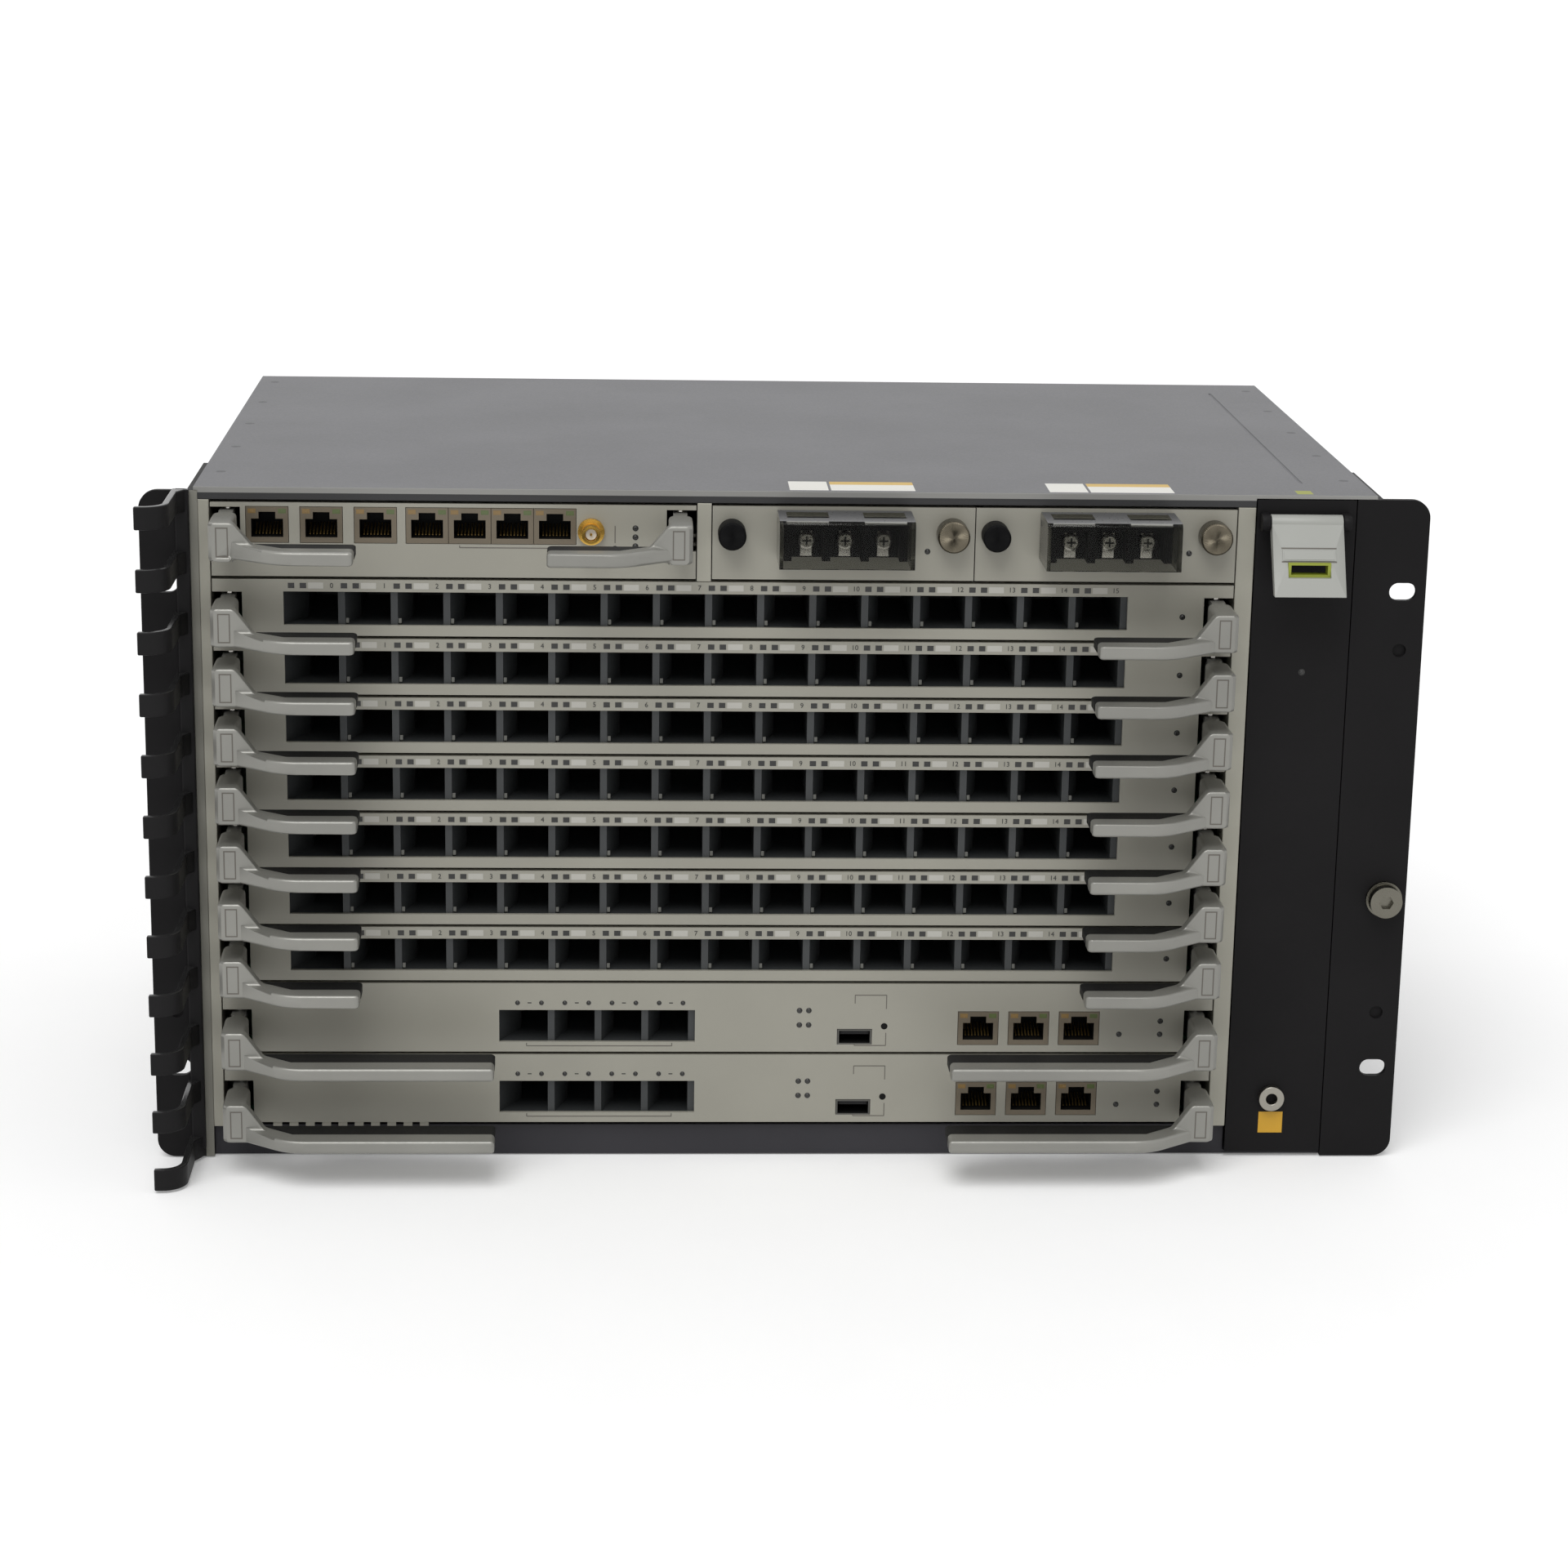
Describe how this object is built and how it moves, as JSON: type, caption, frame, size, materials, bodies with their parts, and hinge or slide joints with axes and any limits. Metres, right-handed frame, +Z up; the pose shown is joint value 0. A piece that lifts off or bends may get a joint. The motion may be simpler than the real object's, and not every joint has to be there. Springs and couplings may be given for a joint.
{
  "type": "optical line terminal",
  "caption": "Rack-mount optical line terminal with plug-in line, control, interface and power cards, ejector levers, fan tray, rack ears and a fibre comb.",
  "frame": {"origin": "middle of the base plate's underside, at mid width and mid depth of the chassis", "axes": "+X to the right seen from the card side, +Y to the rear, +Z up"},
  "size_m": [0.4836, 0.3068, 0.2639],
  "materials": {
    "chassis_paint": "dark grey fine-texture paint",
    "black_paint": "black satin paint",
    "black_plastic": "moulded black",
    "guide_metal": "light grey paint",
    "card_metal": "warm grey paint",
    "lever_cast": "painted die casting",
    "smoked_plastic": "clear smoked",
    "bright_metal": "nickel plated",
    "board": "circuit board",
    "pale_plastic": "moulded pale grey"
  },
  "bodies": {
    "chassis": {"backplane": "board", "base_plate": "chassis_paint", "cable_comb": "black_plastic", "card_guide_left": "guide_metal", "card_guide_right": "guide_metal", "ground_screw": "bright_metal", "left_wall": "chassis_paint", "rack_ear_left": "black_paint", "rack_ear_right": "black_paint", "rear_plate": "chassis_paint", "right_wall": "chassis_paint", "top_cover": "chassis_paint", "top_row_divider": "guide_metal"},
    "service_card_1": {"service_card_1": "card_metal"},
    "service_lever_left_1": {"service_lever_left_1": "lever_cast"},
    "service_lever_right_1": {"service_lever_right_1": "lever_cast"},
    "service_card_2": {"service_card_2": "card_metal"},
    "service_lever_left_2": {"service_lever_left_2": "lever_cast"},
    "service_lever_right_2": {"service_lever_right_2": "lever_cast"},
    "service_card_3": {"service_card_3": "card_metal"},
    "service_lever_left_3": {"service_lever_left_3": "lever_cast"},
    "service_lever_right_3": {"service_lever_right_3": "lever_cast"},
    "service_card_4": {"service_card_4": "card_metal"},
    "service_lever_left_4": {"service_lever_left_4": "lever_cast"},
    "service_lever_right_4": {"service_lever_right_4": "lever_cast"},
    "service_card_5": {"service_card_5": "card_metal"},
    "service_lever_left_5": {"service_lever_left_5": "lever_cast"},
    "service_lever_right_5": {"service_lever_right_5": "lever_cast"},
    "service_card_6": {"service_card_6": "card_metal"},
    "service_lever_left_6": {"service_lever_left_6": "lever_cast"},
    "service_lever_right_6": {"service_lever_right_6": "lever_cast"},
    "service_card_7": {"service_card_7": "card_metal"},
    "service_lever_left_7": {"service_lever_left_7": "lever_cast"},
    "service_lever_right_7": {"service_lever_right_7": "lever_cast"},
    "control_card_1": {"control_card_1": "card_metal"},
    "control_lever_left_1": {"control_lever_left_1": "lever_cast"},
    "control_lever_right_1": {"control_lever_right_1": "lever_cast"},
    "control_card_2": {"control_card_2": "card_metal"},
    "control_lever_left_2": {"control_lever_left_2": "lever_cast"},
    "control_lever_right_2": {"control_lever_right_2": "lever_cast"},
    "interface_card": {"interface_card": "card_metal"},
    "interface_lever_left": {"interface_lever_left": "lever_cast"},
    "interface_lever_right": {"interface_lever_right": "lever_cast"},
    "power_card_1": {"power_card_1": "card_metal"},
    "terminal_cover_1": {"terminal_cover_1": "smoked_plastic"},
    "black_knob_1": {"black_knob_1": "black_plastic"},
    "bright_knob_1": {"bright_knob_1": "bright_metal"},
    "power_card_2": {"power_card_2": "card_metal"},
    "terminal_cover_2": {"terminal_cover_2": "smoked_plastic"},
    "black_knob_2": {"black_knob_2": "black_plastic"},
    "bright_knob_2": {"bright_knob_2": "bright_metal"},
    "fan_tray": {"fan_tray": "black_paint", "fan_frames": "black_plastic", "wrist_strap_jack": "bright_metal"},
    "fan_handle": {"fan_handle": "pale_plastic"},
    "fan_rotor_1": {"fan_rotor_1": "black_plastic"},
    "fan_rotor_2": {"fan_rotor_2": "black_plastic"},
    "fan_rotor_3": {"fan_rotor_3": "black_plastic"},
    "fan_rotor_4": {"fan_rotor_4": "black_plastic"}
  },
  "joints": [
    {"name": "service_card_1_slide", "type": "slide", "parent": "chassis", "child": "service_card_1", "axis": [0, -1, 0], "range_m": [0, 0.2]},
    {"name": "service_lever_left_1_swing", "type": "hinge", "parent": "service_card_1", "child": "service_lever_left_1", "pos_m": [-0.2089, -0.12975, 0.2141], "axis": [0, 0, -1], "range_deg": [0, 18]},
    {"name": "service_lever_right_1_swing", "type": "hinge", "parent": "service_card_1", "child": "service_lever_right_1", "pos_m": [0.1621, -0.12975, 0.2141], "axis": [0, 0, 1], "range_deg": [0, 18]},
    {"name": "service_card_2_slide", "type": "slide", "parent": "chassis", "child": "service_card_2", "axis": [0, -1, 0], "range_m": [0, 0.2]},
    {"name": "service_lever_left_2_swing", "type": "hinge", "parent": "service_card_2", "child": "service_lever_left_2", "pos_m": [-0.2089, -0.12975, 0.1915], "axis": [0, 0, -1], "range_deg": [0, 18]},
    {"name": "service_lever_right_2_swing", "type": "hinge", "parent": "service_card_2", "child": "service_lever_right_2", "pos_m": [0.1621, -0.12975, 0.1915], "axis": [0, 0, 1], "range_deg": [0, 18]},
    {"name": "service_card_3_slide", "type": "slide", "parent": "chassis", "child": "service_card_3", "axis": [0, -1, 0], "range_m": [0, 0.2]},
    {"name": "service_lever_left_3_swing", "type": "hinge", "parent": "service_card_3", "child": "service_lever_left_3", "pos_m": [-0.2089, -0.12975, 0.1689], "axis": [0, 0, -1], "range_deg": [0, 18]},
    {"name": "service_lever_right_3_swing", "type": "hinge", "parent": "service_card_3", "child": "service_lever_right_3", "pos_m": [0.1621, -0.12975, 0.1689], "axis": [0, 0, 1], "range_deg": [0, 18]},
    {"name": "service_card_4_slide", "type": "slide", "parent": "chassis", "child": "service_card_4", "axis": [0, -1, 0], "range_m": [0, 0.2]},
    {"name": "service_lever_left_4_swing", "type": "hinge", "parent": "service_card_4", "child": "service_lever_left_4", "pos_m": [-0.2089, -0.12975, 0.1463], "axis": [0, 0, -1], "range_deg": [0, 18]},
    {"name": "service_lever_right_4_swing", "type": "hinge", "parent": "service_card_4", "child": "service_lever_right_4", "pos_m": [0.1621, -0.12975, 0.1463], "axis": [0, 0, 1], "range_deg": [0, 18]},
    {"name": "service_card_5_slide", "type": "slide", "parent": "chassis", "child": "service_card_5", "axis": [0, -1, 0], "range_m": [0, 0.2]},
    {"name": "service_lever_left_5_swing", "type": "hinge", "parent": "service_card_5", "child": "service_lever_left_5", "pos_m": [-0.2089, -0.12975, 0.1237], "axis": [0, 0, -1], "range_deg": [0, 18]},
    {"name": "service_lever_right_5_swing", "type": "hinge", "parent": "service_card_5", "child": "service_lever_right_5", "pos_m": [0.1621, -0.12975, 0.1237], "axis": [0, 0, 1], "range_deg": [0, 18]},
    {"name": "service_card_6_slide", "type": "slide", "parent": "chassis", "child": "service_card_6", "axis": [0, -1, 0], "range_m": [0, 0.2]},
    {"name": "service_lever_left_6_swing", "type": "hinge", "parent": "service_card_6", "child": "service_lever_left_6", "pos_m": [-0.2089, -0.12975, 0.1011], "axis": [0, 0, -1], "range_deg": [0, 18]},
    {"name": "service_lever_right_6_swing", "type": "hinge", "parent": "service_card_6", "child": "service_lever_right_6", "pos_m": [0.1621, -0.12975, 0.1011], "axis": [0, 0, 1], "range_deg": [0, 18]},
    {"name": "service_card_7_slide", "type": "slide", "parent": "chassis", "child": "service_card_7", "axis": [0, -1, 0], "range_m": [0, 0.2]},
    {"name": "service_lever_left_7_swing", "type": "hinge", "parent": "service_card_7", "child": "service_lever_left_7", "pos_m": [-0.2089, -0.12975, 0.0785], "axis": [0, 0, -1], "range_deg": [0, 18]},
    {"name": "service_lever_right_7_swing", "type": "hinge", "parent": "service_card_7", "child": "service_lever_right_7", "pos_m": [0.1621, -0.12975, 0.0785], "axis": [0, 0, 1], "range_deg": [0, 18]},
    {"name": "control_card_1_slide", "type": "slide", "parent": "chassis", "child": "control_card_1", "axis": [0, -1, 0], "range_m": [0, 0.2]},
    {"name": "control_lever_left_1_swing", "type": "hinge", "parent": "control_card_1", "child": "control_lever_left_1", "pos_m": [-0.2089, -0.12975, 0.0515], "axis": [0, 0, -1], "range_deg": [0, 18]},
    {"name": "control_lever_right_1_swing", "type": "hinge", "parent": "control_card_1", "child": "control_lever_right_1", "pos_m": [0.1621, -0.12975, 0.0515], "axis": [0, 0, 1], "range_deg": [0, 18]},
    {"name": "control_card_2_slide", "type": "slide", "parent": "chassis", "child": "control_card_2", "axis": [0, -1, 0], "range_m": [0, 0.2]},
    {"name": "control_lever_left_2_swing", "type": "hinge", "parent": "control_card_2", "child": "control_lever_left_2", "pos_m": [-0.2089, -0.12975, 0.0225], "axis": [0, 0, -1], "range_deg": [0, 18]},
    {"name": "control_lever_right_2_swing", "type": "hinge", "parent": "control_card_2", "child": "control_lever_right_2", "pos_m": [0.1621, -0.12975, 0.0225], "axis": [0, 0, 1], "range_deg": [0, 18]},
    {"name": "interface_card_slide", "type": "slide", "parent": "chassis", "child": "interface_card", "axis": [0, -1, 0], "range_m": [0, 0.2]},
    {"name": "interface_lever_left_swing", "type": "hinge", "parent": "interface_card", "child": "interface_lever_left", "pos_m": [-0.2089, -0.12975, 0.2457], "axis": [0, 0, -1], "range_deg": [0, 18]},
    {"name": "interface_lever_right_swing", "type": "hinge", "parent": "interface_card", "child": "interface_lever_right", "pos_m": [-0.0409, -0.12975, 0.2457], "axis": [0, 0, 1], "range_deg": [0, 18]},
    {"name": "power_card_1_slide", "type": "slide", "parent": "chassis", "child": "power_card_1", "axis": [0, -1, 0], "range_m": [0, 0.2]},
    {"name": "terminal_cover_1_flip", "type": "hinge", "parent": "power_card_1", "child": "terminal_cover_1", "pos_m": [0.0202, -0.13935, 0.2535], "axis": [-1, 0, 0], "range_deg": [0, 90]},
    {"name": "black_knob_1_turn", "type": "hinge", "parent": "power_card_1", "child": "black_knob_1", "pos_m": [-0.0216, -0.13435, 0.2482], "axis": [0, -1, 0], "continuous": true},
    {"name": "bright_knob_1_turn", "type": "hinge", "parent": "power_card_1", "child": "bright_knob_1", "pos_m": [0.06105, -0.13435, 0.2482], "axis": [0, -1, 0], "continuous": true},
    {"name": "power_card_2_slide", "type": "slide", "parent": "chassis", "child": "power_card_2", "axis": [0, -1, 0], "range_m": [0, 0.2]},
    {"name": "terminal_cover_2_flip", "type": "hinge", "parent": "power_card_2", "child": "terminal_cover_2", "pos_m": [0.11885, -0.13935, 0.2535], "axis": [-1, 0, 0], "range_deg": [0, 90]},
    {"name": "black_knob_2_turn", "type": "hinge", "parent": "power_card_2", "child": "black_knob_2", "pos_m": [0.07705, -0.13435, 0.2482], "axis": [0, -1, 0], "continuous": true},
    {"name": "bright_knob_2_turn", "type": "hinge", "parent": "power_card_2", "child": "bright_knob_2", "pos_m": [0.1597, -0.13435, 0.2482], "axis": [0, -1, 0], "continuous": true},
    {"name": "fan_tray_slide", "type": "slide", "parent": "chassis", "child": "fan_tray", "axis": [0, -1, 0], "range_m": [0, 0.24]},
    {"name": "fan_handle_lift", "type": "hinge", "parent": "fan_tray", "child": "fan_handle", "pos_m": [0.194, -0.13815, 0.2541], "axis": [-1, 0, 0], "range_deg": [0, 35]},
    {"name": "fan_rotor_1_spin", "type": "hinge", "parent": "fan_tray", "child": "fan_rotor_1", "pos_m": [0.189, -0.0625, 0.07245], "axis": [1, 0, 0], "continuous": true},
    {"name": "fan_rotor_2_spin", "type": "hinge", "parent": "fan_tray", "child": "fan_rotor_2", "pos_m": [0.189, -0.0625, 0.19145], "axis": [1, 0, 0], "continuous": true},
    {"name": "fan_rotor_3_spin", "type": "hinge", "parent": "fan_tray", "child": "fan_rotor_3", "pos_m": [0.189, 0.0565, 0.07245], "axis": [1, 0, 0], "continuous": true},
    {"name": "fan_rotor_4_spin", "type": "hinge", "parent": "fan_tray", "child": "fan_rotor_4", "pos_m": [0.189, 0.0565, 0.19145], "axis": [1, 0, 0], "continuous": true}
  ]
}
